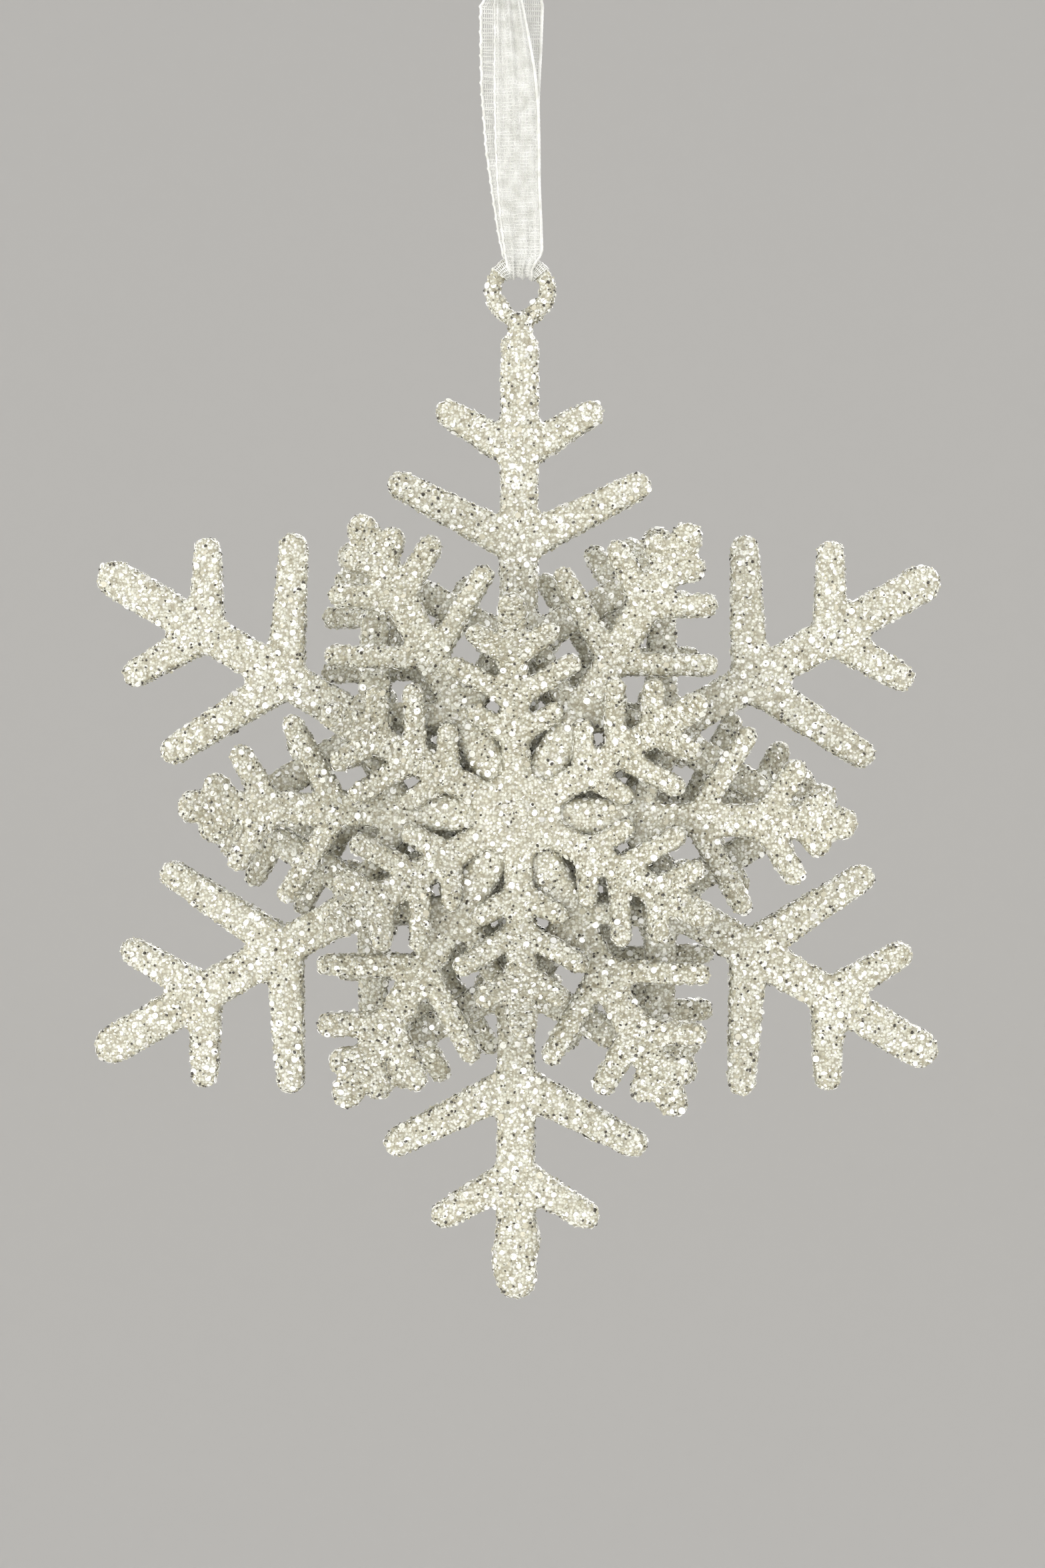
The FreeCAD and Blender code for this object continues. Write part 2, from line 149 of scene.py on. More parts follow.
def layered(material, factor, under, over):
    """The colour over laid on the colour under by the factor."""
    made = node(material, "ShaderNodeMix", {"Factor": factor}, data_type="RGBA")
    for socket, value in ((6, under), (7, over)):
        if isinstance(value, bpy.types.NodeSocket):
            material.node_tree.links.new(value, made.inputs[socket])
        else:
            made.inputs[socket].default_value = (*value, 1)
    return made.outputs[2]


PAINTED_CREASE_SHADE = (0.27, 0.24, 0.16)  # painted shade: the brownish dark that stands in for shade in the creases between grains


def glitter_coat():
    """Milky glue full of fine grains: cloudy glue, grains of several tones with painted shade in the creases
    between them and on the darkest grains, pale dots, and dark dots that are painted dark reflections and
    shaded gaps."""
    material = plain(
        "glitter_coat",
        (0.75, 0.74, 0.64),
        Roughness=0.38,
        Specular_IOR_Level=0.55,
        Coat_Weight=0.25,
        Subsurface_Weight=0.25,
        Subsurface_Radius=(1.0, 0.95, 0.8),
        Subsurface_Scale=0.9 * MM,
    )
    place = node(material, "ShaderNodeTexCoord").outputs["Object"]
    cloudy = node(material, "ShaderNodeTexNoise", {"Vector": place, "Scale": 210.0, "Detail": 4.0})
    glue = ramp(
        material,
        cloudy.outputs["Fac"],
        ((0.30, (0.38, 0.36, 0.27)), (0.48, (0.56, 0.55, 0.46)), (0.68, (0.70, 0.70, 0.62))),
    )
    grain_pitch = 0.33 * MM
    cells = node(material, "ShaderNodeTexVoronoi", {"Vector": place, "Scale": 1 / grain_pitch})
    split = node(material, "ShaderNodeSeparateColor", {"Color": cells.outputs["Color"]})
    # The darkest tenth of the grains take the painted crease shade, as painted shade of deep gaps between
    # grains.
    tones = ramp(
        material,
        split.outputs["Red"],
        (
            (0.0, PAINTED_CREASE_SHADE),
            (0.10, (0.45, 0.43, 0.33)),
            (0.30, (0.61, 0.605, 0.51)),
            (0.62, (0.74, 0.74, 0.67)),
            (0.88, (0.92, 0.92, 0.88)),
        ),
        "CONSTANT",
    )
    colour = layered(material, 0.7, glue, tones)
    # Painted shade: each grain darkens towards its edge into the painted crease shade, where shade falls
    # between grains.
    creases = node(
        material,
        "ShaderNodeMapRange",
        {"Value": cells.outputs["Distance"], "From Min": 0.38, "From Max": 0.64, "To Max": 0.7},
    )
    colour = layered(material, creases.outputs["Result"], colour, PAINTED_CREASE_SHADE)
    pale = dots(material, place, 0.52 * MM, 0.40, 0.30)
    colour = layered(material, pale, colour, (0.86, 0.86, 0.80))
    # Painted darkness: the near-black dots stand in for dark reflections and shaded gaps among the grains.
    dark = dots(material, place, 0.42 * MM, 0.33, 0.17)
    colour = layered(material, dark, colour, (0.07, 0.06, 0.04))
    connect(material, colour, "Base Color")
    gloss = node(
        material,
        "ShaderNodeMapRange",
        {"Value": split.outputs["Green"], "To Min": 0.22, "To Max": 0.6},
    )
    connect(material, gloss.outputs["Result"], "Roughness")
    tilt = node(
        material,
        "ShaderNodeVectorMath",
        {0: cells.outputs["Color"], 1: (0.5, 0.5, 0.5)},
        operation="SUBTRACT",
    )
    lean = node(material, "ShaderNodeVectorMath", {0: tilt.outputs[0], "Scale": 0.45}, operation="SCALE")
    relief = node(
        material,
        "ShaderNodeBump",
        {"Height": cells.outputs["Distance"], "Strength": 0.9, "Distance": -0.10 * MM},
    )
    facing = node(
        material, "ShaderNodeVectorMath", {0: lean.outputs[0], 1: relief.outputs["Normal"]}, operation="ADD"
    )
    upright = node(material, "ShaderNodeVectorMath", {0: facing.outputs[0]}, operation="NORMALIZE")
    connect(material, upright.outputs[0], "Normal")
    return material


def organza_thread():
    """White nylon thread with a silky sheen, its tone a little uneven, and the twist of its fibres."""
    material = plain(
        "organza",
        (0.78, 0.78, 0.75),
        Roughness=0.42,
        Sheen_Weight=0.2,
        Sheen_Roughness=0.4,
        Subsurface_Weight=0.15,
        Subsurface_Radius=(1.0, 1.0, 0.95),
        Subsurface_Scale=0.2 * MM,
    )
    place = node(material, "ShaderNodeTexCoord").outputs["Object"]
    uneven = node(material, "ShaderNodeTexNoise", {"Vector": place, "Scale": 900.0, "Detail": 2.0})
    colours = ramp(
        material,
        uneven.outputs["Fac"],
        ((0.3, (0.64, 0.64, 0.60)), (0.55, (0.78, 0.78, 0.75)), (0.75, (0.88, 0.88, 0.86))),
    )
    connect(material, colours, "Base Color")
    fibres = node(
        material,
        "ShaderNodeTexWave",
        {"Vector": place, "Scale": 2600.0, "Distortion": 2.0, "Detail": 1.0},
        bands_direction="DIAGONAL",
    )
    relief = node(
        material, "ShaderNodeBump", {"Height": fibres.outputs["Fac"], "Strength": 0.35, "Distance": 0.02 * MM}
    )
    connect(material, relief.outputs["Normal"], "Normal")
    return material


COAT = glitter_coat()
ORGANZA = organza_thread()
# The name, colour, metallic, roughness and share of each kind of flake, and of each kind of grain.
FLAKE_KINDS = (
    ("flake_pearl", (0.84, 0.84, 0.77), 0.0, 0.38, 0.20),
    ("flake_white", (0.98, 0.98, 0.96), 0.0, 0.25, 0.58),
    ("flake_silver", (0.92, 0.91, 0.86), 0.6, 0.26, 0.12),
    ("flake_champagne", (0.56, 0.53, 0.42), 0.0, 0.34, 0.10),
)
GRAIN_KINDS = (
    ("grain_pale", (0.73, 0.73, 0.65), 0.0, 0.38, 0.50),
    ("grain_silver", (0.90, 0.89, 0.83), 0.6, 0.24, 0.10),
    ("grain_champagne", (0.50, 0.475, 0.36), 0.0, 0.30, 0.27),
    # The near-black grains are painted darkness that stands in for dark reflections and shaded gaps among the
    # grains.
    ("grain_painted_dark", (0.045, 0.038, 0.028), 0.0, 0.35, 0.13),
)


def kind_materials(kinds):
    return [
        plain(
            name,
            colour,
            Metallic=metal,
            Roughness=rough,
            Specular_IOR_Level=0.6,
            Coat_Weight=0.4,
            Coat_Roughness=0.1,
        )
        for name, colour, metal, rough, _ in kinds
    ]


FLAKE_MATERIALS, GRAIN_MATERIALS = kind_materials(FLAKE_KINDS), kind_materials(GRAIN_KINDS)

# --- Mesh helpers -------------------------------------------------------------------------------


def mesh_object(name, points, faces, materials, smooth=True, slots=None):
    """An object in the scene. slots gives each face the number of its material."""
    mesh = bpy.data.meshes.new(name)
    mesh.from_pydata(np.asarray(points).tolist(), [], faces)
    for material in materials:
        mesh.materials.append(material)
    mesh.polygons.foreach_set("use_smooth", [smooth] * len(mesh.polygons))
    if slots is not None:
        mesh.polygons.foreach_set("material_index", slots)
    mesh.update()
    made = bpy.data.objects.new(name, mesh)
    bpy.context.scene.collection.objects.link(made)
    return made


def evaluated_mesh(thing, name):
    """A new mesh with the object's modifiers, or its curve, worked out."""
    graph = bpy.context.evaluated_depsgraph_get()
    mesh = bpy.data.meshes.new_from_object(thing.evaluated_get(graph), depsgraph=graph)
    mesh.name = name
    return mesh


def vertices(mesh):
    flat = np.empty(len(mesh.vertices) * 3)
    mesh.vertices.foreach_get("co", flat)
    return flat.reshape(-1, 3)


def unit(vectors):
    return vectors / np.maximum(np.linalg.norm(vectors, axis=-1, keepdims=True), 1e-12)


def round_faces(rings, sides):
    """The side faces of a stack of rings, each with that number of points."""
    return [
        (i * sides + j, i * sides + (j + 1) % sides, (i + 1) * sides + (j + 1) % sides, (i + 1) * sides + j)
        for i in range(rings - 1)
        for j in range(sides)
    ]


def end_faces(rings, sides):
    """The two faces that close a stack of rings."""
    return [tuple(range(sides))[::-1], tuple((rings - 1) * sides + j for j in range(sides))]


def tube(points, across, over, sides=4):
    """Points and faces of a closed thread along the points. Each ring is an ellipse that reaches by the
    vectors across and over."""
    angles = np.arange(sides) * 2 * np.pi / sides
    rings = (
        points[:, None]
        + across[:, None] * np.cos(angles)[None, :, None]
        + over[:, None] * np.sin(angles)[None, :, None]
    )
    return rings.reshape(-1, 3), round_faces(len(points), sides) + end_faces(len(points), sides)


def joined(pieces):
    """Joins several pairs of points and faces into one pair."""
    points, faces, count = [], [], 0
    for some, theirs in pieces:
        points.append(some)
        faces += [tuple(i + count for i in face) for face in theirs]
        count += len(some)
    return np.concatenate(points), faces


# --- Ribbon -------------------------------------------------------------------------------------

EYE_Z = STAR_Z + 54.4 * MM
EYE_RING, EYE_WIRE = 2.86 * MM, 0.92 * MM  # the radius of the eye's middle line, and of its section
BAR_Z = EYE_Z + EYE_RING  # the middle of the eye's top bar

# The cord's route, in metres: down the front strand, under the eye's top bar and up the rear strand.
ROUTE = (
    (0, -0.0009, -0.0002),
    (0, -0.0024, -0.0050),
    (0, -0.0019, -0.0248),
    (0, -0.00145, -0.0302),
    (0, -0.00145, -0.03134),
    (0, -0.0006, -0.03219),
    (0, 0.0006, -0.03219),
    (0, 0.00145, -0.03134),
    (0, 0.00145, -0.0302),
    (0, 0.0019, -0.0248),
    (0, 0.0024, -0.0050),
    (0, 0.0009, -0.0002),
)
RIBBON_WIDE = 6.4 * MM


def spline_line(name, route, steps):
    """Evenly spaced points along the NURBS spline whose control points are the route, and its length."""
    curve = bpy.data.curves.new(name, "CURVE")
    curve.dimensions = "3D"
    curve.resolution_u = 24
    spline = curve.splines.new("NURBS")
    spline.points.add(len(route) - 1)
    for point, where in zip(spline.points, route):
        point.co = (*where, 1)
    spline.order_u = 3
    spline.use_endpoint_u = True
    holder = bpy.data.objects.new(name, curve)
    bpy.context.scene.collection.objects.link(holder)
    mesh = evaluated_mesh(holder, name)
    line = vertices(mesh)
    bpy.data.objects.remove(holder)
    bpy.data.meshes.remove(mesh)
    bpy.data.curves.remove(curve)
    along = np.concatenate(([0], np.cumsum(np.linalg.norm(np.diff(line, axis=0), axis=1))))
    even = np.linspace(0, along[-1], steps)
    return np.stack([np.interp(even, along, line[:, k]) for k in range(3)], axis=1), along[-1]


WARP_PITCH, WEFT_PITCH = 0.215 * MM, 0.37 * MM
WEAVE_RIPPLE = 0.03 * MM  # how far a thread goes over and under the others
SELVEDGE_ROUND = 0.17 * MM
PICOT_PITCH, PICOT_OUT = 1.3 * MM, 0.11 * MM


def woven(surface, long, seed, picots=True, cords=True):
    """The threads of a plain weave on surface(u, v), which gives points and outward normals for u from -1
    to 1 across and v from 0 to 1 along. The selvedges are cords, and the left one has small loops."""
    random = np.random.default_rng(seed)
    warps, wefts = int(RIBBON_WIDE / WARP_PITCH), int(long / WEFT_PITCH)
    us, vs = np.linspace(-0.955, 0.955, warps), np.linspace(0.004, 0.996, wefts)
    threads = []
    for i, u in enumerate(us):
        v = np.linspace(0, 1, 2 * wefts + 1)
        points, outward = surface(np.full(len(v), u), v)
        side = surface(np.full(len(v), u + 0.01), v)[0] - points
        phase = np.cos(np.pi * (np.arange(len(v)) / 2 + i))
        points = points + outward * (WEAVE_RIPPLE * phase)[:, None]
        thick = (0.048 + 0.014 * random.random()) * MM
        threads.append(tube(points, unit(side) * thick, outward * thick * 0.8))
    for j, v in enumerate(vs):
        u = np.linspace(-1, 1, warps + 2)
        strayed = v + (0.09 * random.normal() * u + 0.07 * random.normal() * u**2) * MM / long
        points, outward = surface(u, strayed)
        ahead = surface(u, strayed + 0.002)[0] - surface(u, strayed - 0.002)[0]
        phase = -np.cos(np.pi * (np.arange(len(u)) + j))
        points = points + outward * (WEAVE_RIPPLE * phase)[:, None]
        thick = (0.066 + 0.026 * random.random()) * MM
        threads.append(tube(points, unit(ahead) * thick, outward * thick * 0.5))
    for u in (-1.0, 1.0) if cords else ():
        v = np.linspace(0, 1, 3 * wefts)
        points, outward = surface(np.full(len(v), u), v)
        side = unit(points - surface(np.full(len(v), u * 0.98), v)[0])
        if picots and u < 0:
            beat = v * long / PICOT_PITCH
            bump = np.maximum(0, np.cos(2 * np.pi * (beat + 0.12 * np.sin(1.7 * beat)))) ** 2.5
            points = points + side * (PICOT_OUT * bump)[:, None]
        twist = 1 + 0.1 * np.sin(np.arange(len(v)) * 1.9)
        thick = (SELVEDGE_ROUND * twist)[:, None]
        threads.append(tube(points, side * thick, outward * thick, 6))
    return joined(threads)


LINE_STEPS = 600
line, line_long = spline_line("ribbon_line", ROUTE, LINE_STEPS)
line_way = unit(np.gradient(line, axis=0))
line_out = np.cross(line_way, X_AXIS)

# Where the left and right edges of the front strand run, and of the rear one: each row has a height and
# the two places across, in mm. The strip is narrowest under the bar of the eye, at the end of both.
FRONT_EDGES = (
    (-0.2, -1.3, 0.9),
    (-3.3, -2.8, -0.1),
    (-7.2, -2.75, 0.65),
    (-11.0, -2.75, 1.35),
    (-15.0, -2.7, 1.75),
    (-18.8, -2.6, 1.85),
    (-22.7, -2.4, 1.9),
    (-26.6, -2.05, 2.1),
    (-29.6, -1.6, 2.2),
    (-30.3, -1.5, 2.0),
    (-30.8, -1.4, 1.6),
    (-31.5, -1.2, 1.2),
    (-32.2, -1.2, 1.2),
)
REAR_EDGES = (
    (-0.2, -1.4, 1.3),
    (-1.6, -3.1, 1.7),
    (-3.6, -4.25, 2.15),
    (-8.0, -4.2, 2.0),
    (-12.2, -4.1, 1.8),
    (-18.5, -3.6, 1.6),
    (-23.3, -2.9, 1.5),
    (-27.5, -2.25, 1.4),
    (-29.6, -1.8, 1.45),
    (-30.3, -1.6, 1.5),
    (-30.8, -1.4, 1.4),
    (-31.5, -1.2, 1.2),
    (-32.2, -1.2, 1.2),
)


def edges_at(heights, table):
    """Where the strand's left and right edges are at the heights."""
    rows = np.array(table[::-1]) * MM
    return np.interp(heights, rows[:, 0], rows[:, 1]), np.interp(heights, rows[:, 0], rows[:, 2])


def ribbon_surface(u, v):
    """Points and outward normals of the strip. Where the edges stand closer together than the cloth is
    wide, the spare width goes into lengthwise pleats."""
    where = np.clip(v, 0, 1) * (LINE_STEPS - 1)
    points, outward = (
        np.stack([np.interp(where, np.arange(LINE_STEPS), some[:, k]) for k in range(3)], axis=1)
        for some in (line, line_out)
    )
    outward = unit(outward)
    heights = points[:, 2]
    over_bar = heights - BAR_Z
    front = np.clip(0.5 - points[:, 1] / (0.8 * MM), 0, 1)  # 1 on the front strand, 0 on the rear one
    left, right = (
        front * a + (1 - front) * b
        for a, b in zip(edges_at(heights, FRONT_EDGES), edges_at(heights, REAR_EDGES))
    )
    width = right - left
    x = (left + right) / 2 + u * width / 2
    spare = np.clip(1 - width / RIBBON_WIDE, 0, 0.6)
    pleat = np.sin(2 * np.pi * (1.3 * u + 0.35 * np.sin(2.2 * v * np.pi) + 0.1)) * 0.72
    fine = np.sin(2 * np.pi * (2.6 * u + 0.8 * v + 0.3)) * 0.28
    tight = np.clip((2 * MM - over_bar) / (3 * MM), 0, 1)  # the pleats are pressed flat at the bar
    depth = (pleat + fine) * (0.62 - 0.3 * tight) * MM * spare
    # Just over the bar the edges stand out, clear of the eye's shoulders.
    flare = np.clip((np.abs(x) - 1.1 * MM) / (0.9 * MM), 0, 1.3) ** 1.2 * 0.8 * MM
    flare *= np.clip(1 - over_bar / (3.5 * MM), 0, 1) * np.clip(over_bar / (0.8 * MM) + 1, 0, 1)
    bowed = 0.35 * MM * np.sin(np.clip((heights + 2 * MM) / (BAR_Z + 4 * MM), 0, 1) * np.pi) * (1 - u**2)
    points = points + X_AXIS * x[:, None] + outward * (depth + flare + bowed * front)[:, None]
    return points, outward


ribbon = mesh_object("organza_ribbon", *woven(ribbon_surface, line_long, 11), [ORGANZA])
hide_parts("ribbon")
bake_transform(ribbon)

GATHERED_LONG = 5.2 * MM  # along the cloth, round the bar


def gathered_surface(u, v):
    """The cloth's bunched edges, which lie round the eye's top bar and follow its curve."""
    bend = 0.93 * u  # how far round the eye, in radians from its top
    round_bar = np.radians(-128 + 256 * v)  # how far round the bar, from its underside
    pleat = 0.10 * np.sin(9.5 * u + 1.2 * np.sin(3 * v)) + 0.05 * np.sin(19 * u + 2 * v)
    reach = EYE_WIRE + (0.24 + pleat) * MM
    ring = EYE_RING - reach * np.cos(round_bar)
    points = np.stack((ring * np.sin(bend), -reach * np.sin(round_bar), EYE_Z + ring * np.cos(bend)), axis=1)
    inward, forward = np.cos(round_bar), np.sin(round_bar)
    outward = np.stack((-inward * np.sin(bend), -forward, -inward * np.cos(bend)), axis=1)
    return points, outward


gathered_cloth = mesh_object(
    "gathered_cloth",
    *woven(gathered_surface, GATHERED_LONG, 31, picots=False, cords=False),
    [ORGANZA],
)
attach(gathered_cloth, "star")

# --- Knot ---------------------------------------------------------------------------------------

TAIL_LONG = 10 * MM
TAIL_RISE = 9.6 * MM  # how far up the tail goes, as it leans
TAIL_Z = 5.4 * MM  # where the tails leave the knot


def tail_surface(way, phase):
    """A cut end of the ribbon that stands out of the knot, to the rear when way is 1 and to the front when
    it is -1, spreading and curling as it rises. phase sets the creases at its foot."""

    def surface(u, v):
        rise = v * TAIL_RISE
        lean = way * (0.25 * MM + rise * 0.34 + 9 * rise**2)
        half = (1.3 + 1.9 * np.minimum(v * 1.6, 1)) * MM
        slant = 0.55 * MM * u * v * way
        curl = way * 0.55 * MM * (u**2) * v + 0.22 * MM * np.sin(5 * u + phase) * (1 - v)
        across = u * half + way * 0.5 * MM * v
        points = np.stack((across, lean + curl, TAIL_Z + rise * 0.92 + slant), axis=1)
        outward = unit(np.stack((-way * 0.2 * u * v, np.full(len(u), float(way)), -0.4 + 0 * u), axis=1))
        return points, outward

    return surface


def bundle(route, across, tall, seed, steps=90, sides=36):
    """Points and faces of a gathered band of cloth along a smooth line, with creases along it."""
    random = np.random.default_rng(seed)
    path, _ = spline_line("bundle_line", route, steps)
    way = unit(np.gradient(path, axis=0))
    centre = path.mean(axis=0)
    out = path - centre
    out[:, 2] *= 0.2
    out = unit(out - way * (out * way).sum(axis=1, keepdims=True))
    up = np.cross(way, out)
    angles = np.arange(sides) * 2 * np.pi / sides
    creases = sum(
        random.uniform(0.03, 0.08) * np.cos(k * angles + random.uniform(0, 6)) for k in (5, 7, 9, 12)
    )
    along = np.linspace(0, 1, steps)
    swell = 1 + 0.08 * np.sin(9 * along + random.uniform(0, 6))
    taper = np.minimum(1, 0.35 + 5 * np.minimum(along, 1 - along))
    size = (swell * taper)[:, None, None]
    rings = (
        path[:, None]
        + out[:, None] * (across * (1 + creases) * np.cos(angles))[None, :, None] * size
        + up[:, None] * (tall * (1 + creases) * np.sin(angles))[None, :, None] * size
    )
    return rings.reshape(-1, 3), round_faces(steps, sides) + end_faces(steps, sides)


# The doubled ribbon goes up through the knot, is wrapped round it, and crosses over the wrap. The routes
# are in metres.
CORE = ((0, 0, -0.0002), (0.0003, -0.0003, 0.0015), (-0.0004, 0.0002, 0.0035), (0.0001, 0, 0.0064))
WRAP = (
    (-0.0012, 0.0010, 0.0008),
    (0.0012, 0.0021, 0.0016),
    (0.0025, 0.0003, 0.0024),
    (0.0013, -0.0023, 0.0029),
    (-0.0014, -0.0023, 0.0027),
    (-0.0025, 0.0002, 0.0031),
    (-0.0013, 0.0022, 0.0038),
    (0.0013, 0.0020, 0.0043),
    (0.0019, -0.0006, 0.0048),
    (0.0002, -0.0014, 0.0056),
)
OVER = (
    (0.0018, 0.0010, 0.0012),
    (0.0026, -0.0010, 0.0014),
    (0.0008, -0.0028, 0.0022),
    (-0.0014, -0.0024, 0.0042),
    (-0.0016, -0.0004, 0.0056),
)
knot_parts = [
    bundle(CORE, 1.25 * MM, 1.1 * MM, 3),
    bundle(WRAP, 0.95 * MM, 1.3 * MM, 4, steps=140),
    bundle(OVER, 0.75 * MM, 1.0 * MM, 5),
]
knot_parts += [woven(tail_surface(way, 2 + way), TAIL_LONG, 20 + way, picots=False) for way in (-1, 1)]
knot = mesh_object("tied_knot", *joined(knot_parts), [ORGANZA])
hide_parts("ribbon_knot")
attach(knot, "hanger")

# --- Stars --------------------------------------------------------------------------------------


def rounded_copy(cad_name, voxel, smoothing):
    """A mesh of the CAD star with its edges melted round, as they are under their coat."""
    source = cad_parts[cad_name]
    draft = bpy.data.objects.new(cad_name + "_draft", source.data.copy())
    bpy.context.scene.collection.objects.link(draft)
    remesh = draft.modifiers.new("remesh", "REMESH")
    remesh.mode = "VOXEL"
    remesh.voxel_size = voxel
    remesh.adaptivity = 0.0
    relax = draft.modifiers.new("relax", "SMOOTH")
    relax.factor, relax.iterations = 0.5, smoothing
    mesh = evaluated_mesh(draft, cad_name + "_round")
    bpy.data.objects.remove(draft)
    return mesh


def normals_of(mesh):
    """The outward normal at each vertex."""
    flat = np.empty(len(mesh.vertices) * 3)
    mesh.vertex_normals.foreach_get("vector", flat)
    return flat.reshape(-1, 3)


def lumps(points, scale, seed):
    """Smooth unevenness round zero, mostly between -1 and 1, from a few turned sine waves."""
    random = np.random.default_rng(seed)
    total = np.zeros(len(points))
    waves = 9
    for _ in range(waves):
        way = unit(random.normal(size=3))
        long = scale * random.uniform(0.7, 1.5)
        total += np.sin(points @ way * 2 * np.pi / long + random.uniform(0, 6.28))
    return total / (waves / 2)


def pool_swell(points, outward, way):
    """How much thicker the coat is where glue has run together round a medium star's hub. The star's
    hollow side faces the front when way is -1, and the rear when it is 1."""
    pool_round, pool_edge = 13.5 * MM, 2.5 * MM
    radius = np.hypot(points[:, 0], points[:, 2] - STAR_Z)
    pooled = np.clip((pool_round - radius) / pool_edge, 0, 1)
    return pooled * (0.14 * MM + 1.05 * MM * np.clip(way * outward[:, 1], 0, 1) ** 2)


# The lumps of glitter that dried on the lowest arm's tip: the middle, radius and rise of each, in mm.
TIP_LUMPS = (
    ((1.6, 0.0, -132.2), 2.0, 0.75),
    ((-1.6, -0.3, -134.2), 1.7, 0.55),
    ((1.2, 0.2, -136.2), 1.5, 0.35),
)


def tip_swell(points):
    """How much thicker the coat is at the lowest arm's tip."""
    swell = np.zeros(len(points))
    for centre, reach, rise in TIP_LUMPS:
        away = np.linalg.norm(points - np.array(centre) * MM, axis=1)
        swell += rise * MM * np.exp(-((away / (reach * MM)) ** 2))
    return swell


def pointed_eye(points):
    """The points, with the eye's hole drawn to a soft point at its bottom."""
    x, z = points[:, 0], points[:, 2] - EYE_Z
    radius = np.hypot(x, z)
    angle = np.degrees(np.arctan2(x + 0.4 * MM, -z))  # from the bottom of the hole
    inner = np.clip((EYE_RING - radius) / EYE_WIRE, 0, 1)
    point = 0.20 * MM * np.exp(-((angle / 16) ** 2))
    cheeks = 0.42 * MM * np.exp(-(((np.abs(angle) - 52) / 24) ** 2))
    scale = 1 + inner * (point - cheeks) / np.maximum(radius, 1 * MM)
    return np.stack((x * scale, points[:, 1], EYE_Z + z * scale), axis=1)


BROAD_LUMP, BROAD_SPACE = 0.055 * MM, 2.2 * MM  # how high and how far apart the coat's lumps are
SMALL_LUMP, SMALL_SPACE = 0.03 * MM, 0.9 * MM
ROUGH = 0.07 * MM  # how much single points of the coat stand out


def coated(cad_name, name, voxel, smoothing, grow, seed):
    """The lumpy glue coat on a star, grown or shrunk from the CAD star's faces by grow."""
    mesh = rounded_copy(cad_name, voxel, smoothing)
    points, outward = vertices(mesh), normals_of(mesh)
    random = np.random.default_rng(seed + 2)
    swell = grow + BROAD_LUMP * lumps(points, BROAD_SPACE, seed)
    swell += SMALL_LUMP * lumps(points, SMALL_SPACE, seed + 1)
    swell += ROUGH * np.clip(random.normal(size=len(points)), -1.6, 1.6)
    if "medium" in cad_name:
        swell += pool_swell(points, outward, -1 if cad_name.startswith("front") else 1)
    if cad_name == "main_star":
        swell += tip_swell(points)
    points = points + outward * swell[:, None]
    if cad_name == "main_star":
        points = pointed_eye(points)
    mesh.vertices.foreach_set("co", points.ravel())
    mesh.polygons.foreach_set("use_smooth", [True] * len(mesh.polygons))
    mesh.materials.clear()
    mesh.materials.append(COAT)
    mesh.update()
    made = bpy.data.objects.new(name, mesh)
    bpy.context.scene.collection.objects.link(made)
    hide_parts(cad_name)
    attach(made, "star")
    return made


NEAR_CELLS = [(i, j, k) for i in (-1, 0, 1) for j in (-1, 0, 1) for k in (-1, 0, 1)]


def scattered(mesh, count, apart, random):
    """Points and normals spread over the mesh by area, no two closer than apart."""
    mesh.calc_loop_triangles()
    corners = np.empty(len(mesh.loop_triangles) * 3, dtype=np.int64)
    mesh.loop_triangles.foreach_get("vertices", corners)
    corners = corners.reshape(-1, 3)
    points, outward = vertices(mesh), normals_of(mesh)
    a, b, c = (points[corners[:, k]] for k in range(3))
    areas = np.linalg.norm(np.cross(b - a, c - a), axis=1)
    tries = count * 5
    chosen = random.choice(len(corners), tries, p=areas / areas.sum())
    s, t = np.sqrt(random.random(tries)), random.random(tries)
    weights = np.stack((1 - s, s * (1 - t), s * t), axis=1)[:, :, None]
    spots = (points[corners[chosen]] * weights).sum(axis=1)
    facing = unit((outward[corners[chosen]] * weights).sum(axis=1))
    places = spots.tolist()
    cells, kept = {}, []
    for number, (i, j, k) in enumerate(np.floor(spots / apart).astype(int).tolist()):
        others = (other for di, dj, dk in NEAR_CELLS for other in cells.get((i + di, j + dj, k + dk), ()))
        if all(math.dist(places[number], places[other]) >= apart for other in others):
            cells.setdefault((i, j, k), []).append(number)
            kept.append(number)
            if len(kept) == count:
                break
    return spots[kept], facing[kept]


def tilted(outward, tilt, random):
    """The outward directions, each tilted by about that many degrees its own way, and for each the two
    directions square to it."""
    facing = unit(outward + random.normal(size=outward.shape) * math.tan(math.radians(tilt)))
    first = unit(np.cross(facing, random.normal(size=outward.shape)))
    return facing, first, np.cross(facing, first)


def drawn_kinds(kinds, number, random):
    """The number of the kind of each of so many flakes or grains, drawn by the kinds' shares."""
    shares = np.array([share for *_, share in kinds])
    return random.choice(len(kinds), number, p=shares / shares.sum())


FLAKE_APART, FLAKE_ROUND, FLAKE_SPREAD = 0.66 * MM, 0.31 * MM, 0.22
FLAKE_THICK, FLAKE_SIDES, FLAKE_TILT = 0.05 * MM, 9, 14.0
FLAKE_SUNK, FLAKE_RAISED = -0.03 * MM, 0.05 * MM  # the lowest and highest that a flake's middle lies
CLOTH_Z = BAR_Z - 1.5 * MM  # the ribbon's cloth lies on what is above


